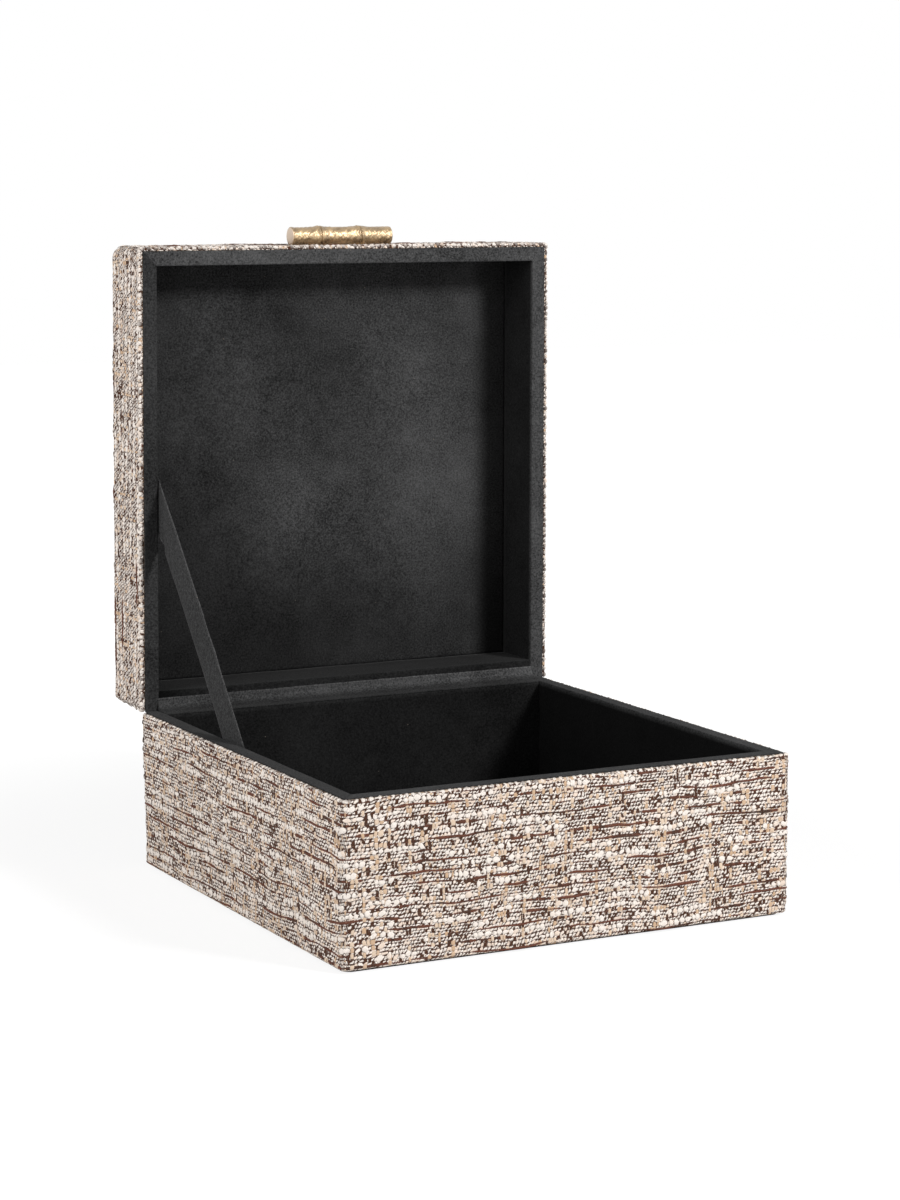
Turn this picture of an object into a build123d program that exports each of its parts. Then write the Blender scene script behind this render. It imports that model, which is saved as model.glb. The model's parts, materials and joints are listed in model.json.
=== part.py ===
"""A square keepsake box covered in tweed: a deep base, and a hinged lid that a ribbon holds open.

The origin is the centre of the underside, +Z is up and the front faces -Y. The lid is drawn as it
stands open, at a right angle behind the base. All sizes are in millimetres.
"""
from build123d import *
from collections import namedtuple
import math
import os

os.makedirs("parts", exist_ok=True)

# Overall sizes, measured over the cloth
box_width = 250.0
box_depth = 250.0
base_height = 83.0
lid_height = 43.0
corner_radius = 4.0

# Layers of a wall, from the outside in, and the suede over its rim
cloth = 2.0
board = 7.0
lining = 1.0
suede = 0.6

# Layers that close the base, from the inside down
floor_pad_thickness = 3.0
floor_board_thickness = 5.0
foot_sheet_thickness = 1.0

# Layers that close the lid, from the inside up
lid_pad_thickness = 2.0
top_board_thickness = 7.0

# Edges of the coverings
cloth_hem = 12.0
bottom_fold_radius = 1.8
foot_sheet_inset = 3.0
foot_sheet_corner = 4.0
lining_bend = 0.5
pad_rounding = 1.2
fit_gap = 0.3
rim_gap = 0.4
overrun = 1.0

# Two small butt hinges let into the rims, with their knuckles in the cloth at the back
hinge_from_side = 50.0
hinge_length = 24.0
hinge_setback = 0.4
leaf_thickness = 0.6
leaf_reach = 8.4
mortise_gap = 0.1
knuckle_radius = 1.2
centre_knuckle = 10.0
knuckle_gap = 0.2
pin_radius = 0.5
pin_clearance = 0.03
hinge_screw_spacing = 14.0
hinge_screw_radius = 0.8
hinge_screw_head_radius = 1.3
hinge_screw_length = 6.5
screw_clearance = 0.03

# The suede strip over the hinges crosses the corner between the rims on a slant
strip_slant = 3.2

# The bamboo shaped bar handle and what holds it
handle_length = 61.0
handle_joint_radius = 5.3
handle_waist_radius = 4.5
handle_end_radius = 4.8
handle_end_rounding = 0.6
handle_joint_shares = (0.28, 0.68)
handle_seat = 4.4
handle_from_rim = 14.0
handle_screw_spacing = 36.0
handle_screw_radius = 1.5
handle_screw_grip = 3.5
handle_hole_clearance = 0.05
handle_head_radius = 2.8
handle_head_height = 2.0
washer_radius = 3.5
washer_thickness = 0.5

# The ribbon stay on the left, from a slit in the base lining to one in the lid lining
ribbon_width = 20.5
ribbon_thickness = 0.8
ribbon_depth = 5.0
ribbon_tail = 12.0
ribbon_play = 0.05
base_ribbon_reach = 103.0
lid_ribbon_reach = 115.0

# Sizes that follow from the layers
board_width = box_width - 2 * cloth
board_depth = box_depth - 2 * cloth
board_corner = corner_radius - cloth
inner_width = board_width - 2 * board
inner_depth = board_depth - 2 * board
room_width = inner_width - 2 * lining
room_depth = inner_depth - 2 * lining
base_wall_end = base_height - foot_sheet_thickness - cloth
floor_face = base_wall_end - floor_board_thickness
lid_wall_end = lid_height - cloth - top_board_thickness

# The hinge pin's line, and the open lid's rim, middle and front face
pin_y = box_depth / 2 + hinge_setback
pin_z = base_height + rim_gap / 2
rim_y = pin_y + rim_gap / 2
lid_centre_z = pin_z + pin_y
lid_front_z = lid_centre_z + box_depth / 2

# Each half has a plane on its rim that looks into the half, and the sign of y at its back
Half = namedtuple("Half", "name plane back wall_end lining_end ribbon_reach")
base_plane = Plane(origin=(0, 0, base_height), x_dir=(1, 0, 0), z_dir=(0, 0, -1))
lid_plane = Plane(origin=(0, rim_y, lid_centre_z), x_dir=(1, 0, 0), z_dir=(0, 1, 0))
base = Half("base", base_plane, -1, base_wall_end, floor_face, base_ribbon_reach)
lid = Half("lid", lid_plane, 1, lid_wall_end, lid_wall_end, lid_ribbon_reach)

# Places of the two hinges and of their screws along the rims
hinge_places = {"left": hinge_from_side - box_width / 2, "right": box_width / 2 - hinge_from_side}
hinge_screw_offsets = (-hinge_screw_spacing / 2, hinge_screw_spacing / 2)

# The ribbon's straight run, as points of its middle line in Y and Z, and its prints on the walls
ribbon_start = (pin_y - base_ribbon_reach, base_height - ribbon_depth)
ribbon_stop = (rim_y + ribbon_depth, pin_z + lid_ribbon_reach)
ribbon_angle = math.atan2(ribbon_stop[1] - ribbon_start[1], ribbon_stop[0] - ribbon_start[0])
ribbon_prints = {
    "base": ribbon_width / math.sin(ribbon_angle),
    "lid": ribbon_width / math.cos(ribbon_angle),
}


def finish(piece, name):
    """Name a finished piece and write it to its own file."""
    piece.part.label = name
    export_step(piece.part, f"parts/{name}.step")


def into(half):
    """The direction from a half's rim into the half."""
    return Axis(half.plane.origin, half.plane.z_dir)


def across(half):
    """The direction along a half's left and right walls."""
    return Axis(half.plane.origin, half.plane.y_dir)


def hinge_spots(half, distance):
    """Points at the two hinges, on a half's rim plane, at a distance from the box's middle."""
    return [(x, half.back * distance) for x in hinge_places.values()]


def screw_spots(half, centres):
    """Centres of the hinge screws in the middle of the back board's edge."""
    return [(x + offset, half.back * (board_depth - board) / 2) for x in centres for offset in hinge_screw_offsets]


def ribbon_spot(half):
    """Where a ribbon end's middle lies along the left wall, on a half's rim plane."""
    return half.back * (pin_y - half.ribbon_reach)


# Boards

def long_board(half, side):
    """A board as wide as the box, at the front or back, with the box's rounded corners."""
    with BuildPart() as wall:
        with BuildSketch(half.plane.offset(suede)):
            with Locations((0, side * (board_depth - board) / 2)):
                Rectangle(board_width, board)
        extrude(amount=half.wall_end - suede)
        rows = wall.edges().filter_by(into(half)).group_by(across(half))
        fillet(rows[-1] if side > 0 else rows[0], radius=board_corner)
    return wall.part


def short_board(half, side):
    """A board that fits between the long ones, at the left or right."""
    with BuildPart() as wall:
        with BuildSketch(half.plane.offset(suede)):
            with Locations((side * (board_width - board) / 2, 0)):
                Rectangle(board, inner_depth)
        extrude(amount=half.wall_end - suede)
    return wall.part


def back_board(half):
    """The back board, with mortises for the hinge leaves and holes for their screws."""
    blank = long_board(half, half.back)
    mortise_start = pin_y - leaf_reach - mortise_gap
    mortise_reach = board_depth / 2 + overrun - mortise_start
    with BuildPart() as wall:
        add(blank)
        with BuildSketch(half.plane):
            with Locations(hinge_spots(half, mortise_start + mortise_reach / 2)):
                Rectangle(hinge_length + 2 * mortise_gap, mortise_reach)
        extrude(amount=suede + leaf_thickness, mode=Mode.SUBTRACT)
        with BuildSketch(half.plane):
            with Locations(screw_spots(half, hinge_places.values())):
                Circle(hinge_screw_radius + screw_clearance)
        extrude(amount=suede + hinge_screw_length + screw_clearance, mode=Mode.SUBTRACT)
    return wall


def left_board(half):
    """The left board, with a recess for the ribbon's tail."""
    blank = short_board(half, -1)
    recess_depth = ribbon_thickness + 2 * ribbon_play
    recess_start = ribbon_depth - ribbon_thickness / 2 - ribbon_play
    with BuildPart() as wall:
        add(blank)
        with BuildSketch(half.plane.offset(recess_start)):
            with Locations((-(inner_width + recess_depth) / 2, ribbon_spot(half))):
                Rectangle(recess_depth, ribbon_prints[half.name] + 2 * ribbon_play)
        extrude(amount=ribbon_tail + 2 * ribbon_play, mode=Mode.SUBTRACT)
    return wall


right_boards = {half.name: short_board(half, 1) for half in (base, lid)}
front_boards = {half.name: long_board(half, -half.back) for half in (base, lid)}

for half in (base, lid):
    finish(back_board(half), f"{half.name}_back_board")
    finish(left_board(half), f"{half.name}_left_board")
    with BuildPart() as right_board:
        add(right_boards[half.name])
    finish(right_board, f"{half.name}_right_board")

with BuildPart() as base_front_board:
    add(front_boards["base"])
finish(base_front_board, "base_front_board")

# The lid's front board is drilled for the handle's screws and recessed for their heads
handle_plane = Plane(origin=(0, rim_y + handle_from_rim, lid_front_z), x_dir=(1, 0, 0), z_dir=(0, 0, 1))
handle_spots = [(-handle_screw_spacing / 2, 0), (handle_screw_spacing / 2, 0)]
counterbore_depth = handle_head_height + washer_thickness + fit_gap
inner_face = -(cloth + board)

with BuildPart() as lid_front_board:
    add(front_boards["lid"])
    with BuildSketch(handle_plane.offset(inner_face - overrun)):
        with Locations(handle_spots):
            Circle(handle_screw_radius + fit_gap)
    extrude(amount=board + 2 * overrun, mode=Mode.SUBTRACT)
    with BuildSketch(handle_plane.offset(inner_face - overrun)):
        with Locations(handle_spots):
            Circle(washer_radius + fit_gap)
    extrude(amount=counterbore_depth + overrun, mode=Mode.SUBTRACT)
finish(lid_front_board, "lid_front_board")

with BuildPart() as floor_board:
    with BuildSketch(base.plane.offset(floor_face)):
        Rectangle(inner_width, inner_depth)
    extrude(amount=floor_board_thickness)
finish(floor_board, "floor_board")

with BuildPart() as top_board:
    with BuildSketch(lid.plane.offset(lid_wall_end)):
        Rectangle(board_width, board_depth)
    extrude(amount=top_board_thickness)
    board_corners = top_board.edges().filter_by(into(lid))
    board_top = top_board.edges().group_by(into(lid))[-1]
    fillet(board_corners + board_top, radius=board_corner)
finish(top_board, "top_board")

# Tweed covers: the base wrap is folded under the walls, the lid cover is one piece over the top
notch_depth = suede + leaf_thickness + knuckle_radius
notch_reach = box_depth / 2 + overrun - board_depth / 2
notch_middle = (board_depth + notch_reach) / 2

with BuildPart() as base_tweed_cover:
    with BuildSketch(base.plane.offset(suede)):
        RectangleRounded(box_width, box_depth, corner_radius)
    extrude(amount=base_wall_end + cloth - suede)
    fillet(base_tweed_cover.faces().sort_by(into(base))[-1].edges(), radius=bottom_fold_radius)
    with BuildSketch(base.plane):
        RectangleRounded(board_width, board_depth, board_corner)
    extrude(amount=base_wall_end, mode=Mode.SUBTRACT)
    with BuildSketch(base.plane.offset(base_wall_end)):
        Rectangle(box_width - 2 * cloth_hem, box_depth - 2 * cloth_hem)
    extrude(amount=cloth + overrun, mode=Mode.SUBTRACT)
    with BuildSketch(base.plane):
        with Locations(hinge_spots(base, notch_middle)):
            Rectangle(hinge_length + 2 * fit_gap, notch_reach)
    extrude(amount=notch_depth, mode=Mode.SUBTRACT)
finish(base_tweed_cover, "base_tweed_cover")

with BuildPart() as lid_core:
    with BuildSketch(lid.plane):
        Rectangle(board_width, board_depth)
    extrude(amount=lid_height - cloth)
    core_corners = lid_core.edges().filter_by(into(lid))
    core_top = lid_core.edges().group_by(into(lid))[-1]
    fillet(core_corners + core_top, radius=board_corner)

with BuildPart() as lid_tweed_cover:
    with BuildSketch(lid.plane.offset(suede)):
        Rectangle(box_width, box_depth)
    extrude(amount=lid_height - suede)
    cover_corners = lid_tweed_cover.edges().filter_by(into(lid))
    cover_top = lid_tweed_cover.edges().group_by(into(lid))[-1]
    fillet(cover_corners + cover_top, radius=corner_radius)
    add(lid_core.part, mode=Mode.SUBTRACT)
    with BuildSketch(lid.plane):
        with Locations(hinge_spots(lid, notch_middle)):
            Rectangle(hinge_length + 2 * fit_gap, notch_reach)
    extrude(amount=notch_depth, mode=Mode.SUBTRACT)
    with BuildSketch(handle_plane.offset(-cloth - overrun)):
        with Locations(handle_spots):
            Circle(handle_screw_radius + fit_gap)
    extrude(amount=cloth + 2 * overrun, mode=Mode.SUBTRACT)
finish(lid_tweed_cover, "lid_tweed_cover")


# Suede linings: an upright card on each wall, and a return over the rim on three of them
def frame_side(half, side, outer, inner):
    """Corners of one side of a mitred frame between two rectangles, given by their half sizes."""
    (outer_x, outer_y), (inner_x, inner_y) = outer, inner
    front = -half.back
    corners = {
        "front": [(-outer_x, outer_y), (outer_x, outer_y), (inner_x, inner_y), (-inner_x, inner_y)],
        "back": [(-outer_x, -outer_y), (outer_x, -outer_y), (inner_x, -inner_y), (-inner_x, -inner_y)],
        "left": [(-outer_x, outer_y), (-inner_x, inner_y), (-inner_x, -inner_y), (-outer_x, -outer_y)],
        "right": [(outer_x, outer_y), (inner_x, inner_y), (inner_x, -inner_y), (outer_x, -outer_y)],
    }
    return [(x, front * y) for x, y in corners[side]]


def return_outline(half, side):
    """Corners of a return: mitred at the front, and square at the back, over the cloth's edge."""
    corners = frame_side(half, side, (board_width / 2, board_depth / 2), (room_width / 2, room_depth / 2))
    if side == "front":
        return corners
    square_end = half.back * box_depth / 2
    return corners[:2] + [(corners[2][0], square_end), (corners[3][0], square_end)]


def lining_piece(half, side):
    """One lining piece, with its slit for the ribbon if it is the left one."""
    inner_outline = (inner_width / 2, inner_depth / 2)
    room_outline = (room_width / 2, room_depth / 2)
    with BuildPart() as panel:
        if side != "back":
            with BuildSketch(half.plane):
                Polygon(*return_outline(half, side), align=None)
            extrude(amount=suede)
            with BuildSketch(half.plane):
                RectangleRounded(board_width, board_depth, board_corner)
                with Locations((0, half.back * box_depth / 4)):
                    RectangleRounded(board_width, box_depth / 2, corner_radius)
            extrude(amount=suede, mode=Mode.INTERSECT)
        with BuildSketch(half.plane.offset(suede)):
            Polygon(*frame_side(half, side, inner_outline, room_outline), align=None)
        extrude(amount=half.lining_end - suede)
        if side != "back":
            along = Axis.X if side == "front" else across(half)
            outward = Axis(half.plane.origin, half.plane.y_dir * half.back) if side == "front" else Axis.X
            rim_edges = panel.edges().filter_by(along).group_by(into(half))[0].sort_by(outward)
            fillet(rim_edges[0] if side == "right" else rim_edges[-1], radius=lining_bend)
        if side == "left":
            with BuildSketch(half.plane.offset(ribbon_depth - ribbon_thickness / 2 - ribbon_play)):
                with Locations((-(inner_width + room_width) / 4, ribbon_spot(half))):
                    Rectangle(lining + 2 * overrun, ribbon_prints[half.name] + 2 * ribbon_play)
            extrude(amount=ribbon_thickness + 2 * ribbon_play, mode=Mode.SUBTRACT)
    return panel


for half in (base, lid):
    for side in ("front", "back", "left", "right"):
        finish(lining_piece(half, side), f"{half.name}_lining_{side}")

# The strip of suede that covers both back rims and the hinges between them
strip_end = lid_centre_z - room_depth / 2
with BuildPart() as hinge_strip:
    with BuildSketch(Plane.YZ.offset(-room_width / 2 + fit_gap)):
        with BuildLine():
            face = Polyline(
                (room_depth / 2, base_height),
                (rim_y - strip_slant, base_height),
                (rim_y, base_height + strip_slant),
                (rim_y, strip_end),
            )
            offset(face, amount=suede, side=Side.RIGHT)
        make_face()
    extrude(amount=room_width - 2 * fit_gap)
finish(hinge_strip, "hinge_strip")

# Padded panels inside the floor and the lid
with BuildPart() as floor_pad:
    with BuildSketch(base.plane.offset(floor_face)):
        Rectangle(room_width - 2 * fit_gap, room_depth - 2 * fit_gap)
    extrude(amount=-floor_pad_thickness)
    fillet(floor_pad.faces().sort_by(into(base))[0].edges(), radius=pad_rounding)
finish(floor_pad, "floor_pad")

with BuildPart() as lid_pad:
    with BuildSketch(lid.plane.offset(lid_wall_end)):
        Rectangle(room_width - 2 * fit_gap, room_depth - 2 * fit_gap)
    extrude(amount=-lid_pad_thickness)
    fillet(lid_pad.faces().sort_by(into(lid))[0].edges(), radius=pad_rounding)
finish(lid_pad, "lid_pad")

# The card that fills the hem's frame under the floor, and the sheet that the box rests on
with BuildPart() as infill_card:
    with BuildSketch(base.plane.offset(base_wall_end)):
        Rectangle(box_width - 2 * cloth_hem - 2 * fit_gap, box_depth - 2 * cloth_hem - 2 * fit_gap)
    extrude(amount=cloth)
finish(infill_card, "infill_card")

with BuildPart() as foot_sheet:
    with BuildSketch(base.plane.offset(base_wall_end + cloth)):
        RectangleRounded(box_width - 2 * foot_sheet_inset, box_depth - 2 * foot_sheet_inset, foot_sheet_corner)
    extrude(amount=foot_sheet_thickness)
finish(foot_sheet, "foot_sheet")

# Hinges: the base leaves carry the two outer knuckles and the lid leaves the middle one
outer_knuckle = (hinge_length - centre_knuckle) / 2 - knuckle_gap
knuckles = {
    "base": [(-hinge_length / 2, outer_knuckle), (hinge_length / 2 - outer_knuckle, outer_knuckle)],
    "lid": [(-centre_knuckle / 2, centre_knuckle)],
}
plate_reach = leaf_reach - knuckle_radius - knuckle_gap
head_taper = 45
head_depth = hinge_screw_head_radius - hinge_screw_radius


def hinge_leaf(half, centre):
    """A leaf: a plate let into the rim, countersunk for its screws, with its knuckles."""
    with BuildPart() as leaf:
        with BuildSketch(half.plane.offset(suede)):
            with Locations((centre, half.back * (pin_y - leaf_reach + plate_reach / 2))):
                Rectangle(hinge_length, plate_reach)
            for start, length in knuckles[half.name]:
                with Locations((centre + start + length / 2, half.back * (pin_y - leaf_reach / 2))):
                    Rectangle(length, leaf_reach)
        extrude(amount=leaf_thickness)
        for start, length in knuckles[half.name]:
            with BuildSketch(Plane.YZ.offset(centre + start)):
                with Locations((pin_y, pin_z)):
                    Circle(knuckle_radius)
                    Circle(pin_radius + pin_clearance, mode=Mode.SUBTRACT)
            extrude(amount=length)
        with BuildSketch(half.plane.offset(suede)):
            with Locations(screw_spots(half, [centre])):
                Circle(hinge_screw_head_radius + screw_clearance)
        extrude(amount=head_depth, taper=head_taper, mode=Mode.SUBTRACT)
        with BuildSketch(half.plane.offset(suede)):
            with Locations(screw_spots(half, [centre])):
                Circle(hinge_screw_radius + screw_clearance)
        extrude(amount=leaf_thickness, mode=Mode.SUBTRACT)
    return leaf


def hinge_screws(half):
    """The countersunk screws of both hinges in one half."""
    with BuildPart() as screws:
        with BuildSketch(half.plane.offset(suede)):
            with Locations(screw_spots(half, hinge_places.values())):
                Circle(hinge_screw_head_radius)
        extrude(amount=head_depth, taper=head_taper)
        with BuildSketch(half.plane.offset(suede)):
            with Locations(screw_spots(half, hinge_places.values())):
                Circle(hinge_screw_radius)
        extrude(amount=hinge_screw_length)
    return screws


for half in (base, lid):
    for side, centre in hinge_places.items():
        finish(hinge_leaf(half, centre), f"{side}_hinge_{half.name}_leaf")
    finish(hinge_screws(half), f"{half.name}_hinge_screws")

with BuildPart() as hinge_pins:
    for centre in hinge_places.values():
        with BuildSketch(Plane.YZ.offset(centre - hinge_length / 2)):
            with Locations((pin_y, pin_z)):
                Circle(pin_radius)
        extrude(amount=hinge_length)
finish(hinge_pins, "hinge_pins")

# The handle: a turned bar with two bamboo joints, cut flat where it sits on the cloth
bar_plane = Plane(origin=handle_plane.origin + Vector(0, 0, handle_seat), x_dir=(1, 0, 0), z_dir=(0, -1, 0))
joints = [(share - 0.5) * handle_length for share in handle_joint_shares]
stations = [-handle_length / 2, *joints, handle_length / 2]
radii = [handle_end_radius, handle_joint_radius, handle_joint_radius, handle_end_radius]

with BuildPart() as handle_bar:
    with BuildSketch(bar_plane):
        with BuildLine():
            for index in range(len(stations) - 1):
                near = (stations[index], radii[index])
                far = (stations[index + 1], radii[index + 1])
                ThreePointArc(near, ((near[0] + far[0]) / 2, handle_waist_radius), far)
            Polyline(
                (stations[-1], handle_end_radius),
                (stations[-1], 0),
                (stations[0], 0),
                (stations[0], handle_end_radius),
            )
        make_face()
    revolve(axis=Axis(bar_plane.origin, (1, 0, 0)))
    ends = handle_bar.faces().sort_by(Axis.X)
    fillet(ends[0].edges() + ends[-1].edges(), radius=handle_end_rounding)
    split(bisect_by=handle_plane, keep=Keep.TOP)
    with BuildSketch(handle_plane):
        with Locations(handle_spots):
            Circle(handle_screw_radius + handle_hole_clearance)
    extrude(amount=handle_screw_grip + handle_hole_clearance, mode=Mode.SUBTRACT)
finish(handle_bar, "handle_bar")

washer_face = inner_face + counterbore_depth - washer_thickness

with BuildPart() as handle_washers:
    with BuildSketch(handle_plane.offset(washer_face)):
        with Locations(handle_spots):
            Circle(washer_radius)
            Circle(handle_screw_radius + fit_gap, mode=Mode.SUBTRACT)
    extrude(amount=washer_thickness)
finish(handle_washers, "handle_washers")

with BuildPart() as handle_screws:
    with BuildSketch(handle_plane.offset(washer_face)):
        with Locations(handle_spots):
            Circle(handle_head_radius)
    extrude(amount=-handle_head_height)
    with BuildSketch(handle_plane.offset(washer_face)):
        with Locations(handle_spots):
            Circle(handle_screw_radius)
    extrude(amount=handle_screw_grip - washer_face)
finish(handle_screws, "handle_screws")

# The ribbon stay: a straight run between the walls, and a tail behind each lining
run_x = -room_width / 2 + fit_gap
tail_x = -inner_width / 2 - ribbon_play - ribbon_thickness
base_print = ribbon_prints["base"] / 2
lid_print = ribbon_prints["lid"] / 2
run_low = ribbon_start[1] - ribbon_thickness / 2
run_far = ribbon_stop[0] + ribbon_thickness / 2

with BuildPart() as ribbon_stay:
    with BuildSketch(Plane.YZ.offset(run_x)):
        Polygon(
            (ribbon_start[0] - base_print, run_low),
            (ribbon_start[0] + base_print, run_low),
            (run_far, ribbon_stop[1] - lid_print),
            (run_far, ribbon_stop[1] + lid_print),
            align=None,
        )
    extrude(amount=ribbon_thickness)
    for half in (base, lid):
        with BuildSketch(half.plane.offset(ribbon_depth - ribbon_thickness / 2)):
            with Locations(((run_x + ribbon_thickness + tail_x) / 2, ribbon_spot(half))):
                Rectangle(run_x + ribbon_thickness - tail_x, ribbon_prints[half.name])
        extrude(amount=ribbon_thickness)
        with BuildSketch(half.plane.offset(ribbon_depth - ribbon_thickness / 2)):
            with Locations((tail_x + ribbon_thickness / 2, ribbon_spot(half))):
                Rectangle(ribbon_thickness, ribbon_prints[half.name])
        extrude(amount=ribbon_tail)
finish(ribbon_stay, "ribbon_stay")
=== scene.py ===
"""The looks of a tweed covered keepsake box: woven covers, suede linings, a ribbon and a hammered bar.

Shapes are worked out in millimetres from the model's own node boxes, and turned to metres as each mesh
is made. A point of either half is given as (x, s, w): s runs from the middle to the front wall, and w
from the rim inwards.
"""
import json
import math

import bmesh
import bpy
import numpy as np
from mathutils import Matrix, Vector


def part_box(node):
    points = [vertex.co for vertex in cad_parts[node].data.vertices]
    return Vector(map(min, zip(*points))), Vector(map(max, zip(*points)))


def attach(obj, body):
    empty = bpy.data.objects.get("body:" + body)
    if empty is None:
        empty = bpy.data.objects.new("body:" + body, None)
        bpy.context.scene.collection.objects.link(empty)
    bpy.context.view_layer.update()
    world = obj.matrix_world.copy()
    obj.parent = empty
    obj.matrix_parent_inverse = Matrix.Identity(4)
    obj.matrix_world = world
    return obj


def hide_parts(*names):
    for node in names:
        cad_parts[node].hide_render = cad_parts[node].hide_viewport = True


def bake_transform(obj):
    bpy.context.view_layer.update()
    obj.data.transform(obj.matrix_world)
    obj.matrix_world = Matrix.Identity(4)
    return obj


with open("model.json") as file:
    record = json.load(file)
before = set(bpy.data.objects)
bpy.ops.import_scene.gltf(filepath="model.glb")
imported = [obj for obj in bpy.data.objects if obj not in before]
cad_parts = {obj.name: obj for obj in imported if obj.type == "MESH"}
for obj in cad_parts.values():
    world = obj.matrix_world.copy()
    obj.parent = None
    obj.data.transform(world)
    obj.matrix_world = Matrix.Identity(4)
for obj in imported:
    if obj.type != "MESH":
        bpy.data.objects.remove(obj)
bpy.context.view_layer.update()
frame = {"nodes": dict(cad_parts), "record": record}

mm = 0.001
quarter = math.pi / 2


def size_of(node):
    """A CAD node's lowest and highest corner, in millimetres."""
    return [np.array(corner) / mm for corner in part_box(node)]


# Sizes read from the model
cover_high = size_of("base_tweed_cover")[1]
lid_low, lid_high = size_of("lid_tweed_cover")
floor_pad_low, floor_pad_high = size_of("floor_pad")
ribbon_low, ribbon_high = size_of("ribbon_stay")
strip_low, strip_high = size_of("hinge_strip")
handle_low, handle_high = size_of("handle_bar")
leaf_low, leaf_high = size_of("right_hinge_base_leaf")
foot_high = size_of("foot_sheet")[1]

half_width = cover_high[0]
base_rim = size_of("base_lining_front")[1][2]
lid_rim = size_of("lid_lining_front")[0][1]
lid_centre = (lid_low[2] + lid_high[2]) / 2
suede = base_rim - cover_high[2]
cloth = half_width + size_of("base_left_board")[0][0]
room = floor_pad_high[0] + 0.3
base_floor = base_rim - floor_pad_low[2]
lid_floor = size_of("lid_pad")[1][1] - lid_rim
corner_radius = 7.0
lid_edge = 4.5
fold_radius = 1.8
hem = 12.0
woven_from = suede + 0.6

# The weave: its pitch both ways, and how far apart its rust lines lie
pitch = 1.76
nub_length = 2.05
line_gap = 3 * pitch


def ease(share):
    """A step from 0 to 1 with soft ends."""
    return share * share * (3 - 2 * share)


def unit(value):
    """A value kept from 0 to 1."""
    return np.clip(value, 0, 1)


def noise_at(x, y, seed):
    """Smooth noise from 0 to 1 at points of a plane, with a feature size of about one unit."""
    column, row = np.floor(x), np.floor(y)

    def corner(i, j):
        value = np.sin((column + i) * 127.1 + (row + j) * 311.7 + seed * 74.7) * 43758.5453
        return value - np.floor(value)

    fx, fy = ease(x - column), ease(y - row)
    low = corner(0, 0) * (1 - fx) + corner(1, 0) * fx
    high = corner(0, 1) * (1 - fx) + corner(1, 1) * fx
    return low * (1 - fy) + high * fy


def waver(size, x, y, seed):
    """Smooth noise to both sides of 0, of a size from its lowest to its highest."""
    return size * (noise_at(x, y, seed) - 0.5)


def stacked(*parts):
    """Arrays side by side along a new last index, each one stretched to the same shape."""
    return np.stack(np.broadcast_arrays(*parts), -1)


class Half:
    """One half of the box: how deep its cloth reaches, how its outer edge turns, where its points lie."""

    def __init__(self, name, depth, edge_radius, ledge, corners):
        self.name = name
        self.depth = depth
        self.edge_radius = edge_radius
        self.corners = np.array(corners)
        self.wall = depth - edge_radius - woven_from
        self.turned = self.wall + edge_radius * quarter
        self.reach = self.turned + ledge

    def place(self, points):
        """Row frame points, in millimetres, of points (x, s, w)."""
        x, s, w = np.moveaxis(np.asarray(points, float), -1, 0)
        if self.name == "base":
            return stacked(x, -s, base_rim - w)
        return stacked(x, lid_rim + w, lid_centre + s)

    def corner(self, side, w):
        """The radius of the corner after a side, which grows from the rim inwards."""
        near, far = np.moveaxis(self.corners[side.astype(int) % 4], -1, 0)
        return near + (far - near) * ease(unit(w / self.depth))


# Corner radii at the rim and at the far end: back right, front right, front left and back left
base_corners = [(0.8, 5.0), (2.4, 3.2), (2.8, 3.2), (0.8, 6.5)]
lid_corners = [(0.8, 3.0), (2.2, 6.0), (2.0, 6.5), (0.8, 3.0)]
base = Half("base", base_rim - foot_high[2], fold_radius, 0.0, base_corners)
lid = Half("lid", lid_high[1] - lid_rim, lid_edge, corner_radius - lid_edge, lid_corners)


# Meshes
def put_in_scene(name, data):
    """A new object of the scene."""
    made = bpy.data.objects.new(name, data)
    bpy.context.scene.collection.objects.link(made)
    return made


def new_mesh(name, points, faces, body=None, uv=None, values=None):
    """A smooth mesh object from points in millimetres and lists of faces."""
    points = np.asarray(points, float).reshape(-1, 3) * mm
    mesh = bpy.data.meshes.new(name)
    mesh.from_pydata(points.tolist(), [], faces, shade_flat=False)
    if uv is not None:
        layer = mesh.uv_layers.new(name="weave")
        layer.data.foreach_set("uv", uv.astype(np.float32)[np.concatenate(faces)].ravel())
    for key, value in (values or {}).items():
        layer = mesh.attributes.new(key, "FLOAT", "POINT")
        layer.data.foreach_set("value", value.astype(np.float32).ravel())
    piece = put_in_scene(name, mesh)
    if body:
        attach(piece, body)
    return piece


def grid_faces(rows, columns, closed_rows=False, closed_columns=False, first=0):
    """Quads of a grid of points, whose first index is the row."""
    index = first + np.arange(rows * columns).reshape(rows, columns)
    index = np.pad(index, ((0, int(closed_rows)), (0, int(closed_columns))), mode="wrap")
    corners = [index[:-1, :-1], index[:-1, 1:], index[1:, 1:], index[1:, :-1]]
    return stacked(*corners).reshape(-1, 4).tolist()


def row_tube(rows, columns):
    """Faces of a tube with closed ends, whose rings are the grid's rows."""
    ring = np.arange(columns)
    ends = [ring[::-1].tolist(), (ring + (rows - 1) * columns).tolist()]
    return grid_faces(rows, columns, closed_columns=True) + ends


def column_tube(rows, columns, first=0):
    """Faces of a tube with closed ends, whose rings are the grid's columns."""
    ring = first + np.arange(rows) * columns
    ends = [ring.tolist(), (ring + columns - 1)[::-1].tolist()]
    return grid_faces(rows, columns, closed_rows=True, first=first) + ends


def dress(piece, finish, node):
    """Gives a piece its material, and hides the node whose place it takes."""
    piece.data.materials.append(finish.material)
    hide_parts(node)
    return piece


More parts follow.
